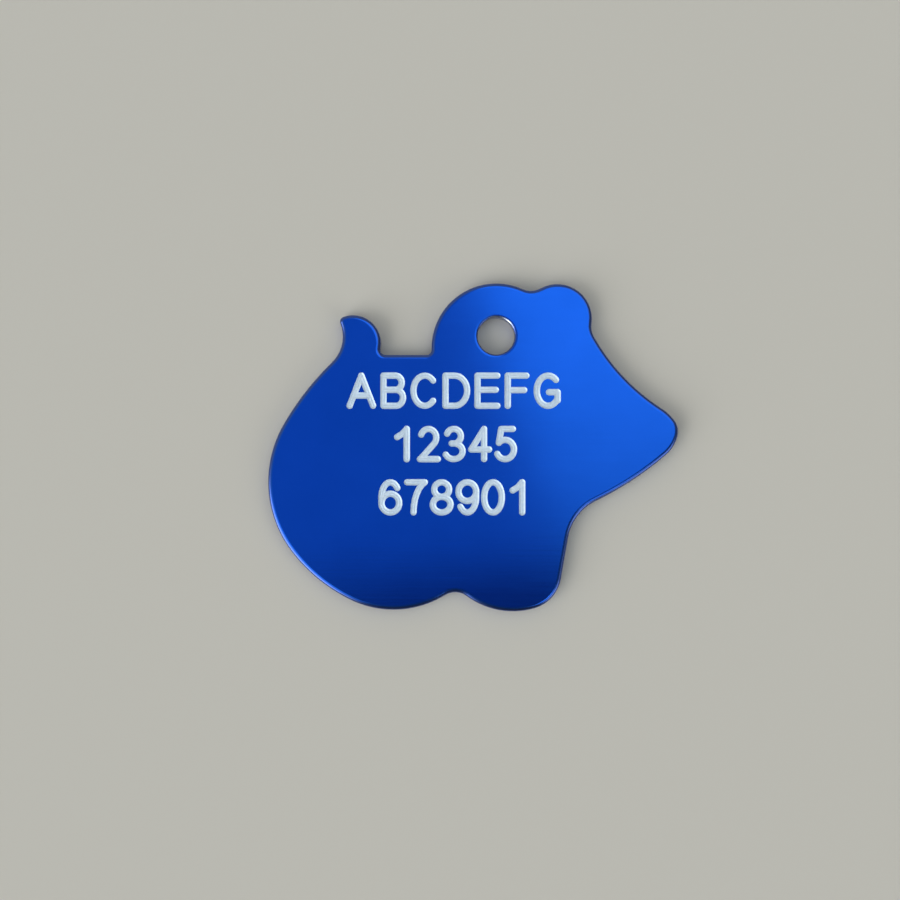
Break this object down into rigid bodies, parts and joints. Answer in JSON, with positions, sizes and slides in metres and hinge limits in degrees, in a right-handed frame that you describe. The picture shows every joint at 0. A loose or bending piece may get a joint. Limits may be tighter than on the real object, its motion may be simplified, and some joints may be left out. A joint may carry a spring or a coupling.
{
  "type": "pet id tag",
  "caption": "Flat mouse-shaped identity tag of anodised aluminium sheet, with a hole for a split ring on a collar.",
  "frame": {"origin": "on the axis of the ring hole, at the back face of the sheet", "axes": "+Z out of the engraved face, +X from the rump to the nose, +Y from the paws to the ears"},
  "size_m": [0.0329, 0.0263, 0.0012],
  "materials": {
    "blue_anodised_aluminium": "satin dyed anodised sheet with rolled edges, bare metal in the engraved strokes"
  },
  "bodies": {
    "root": {"tag_blank": "blue_anodised_aluminium"}
  },
  "joints": []
}
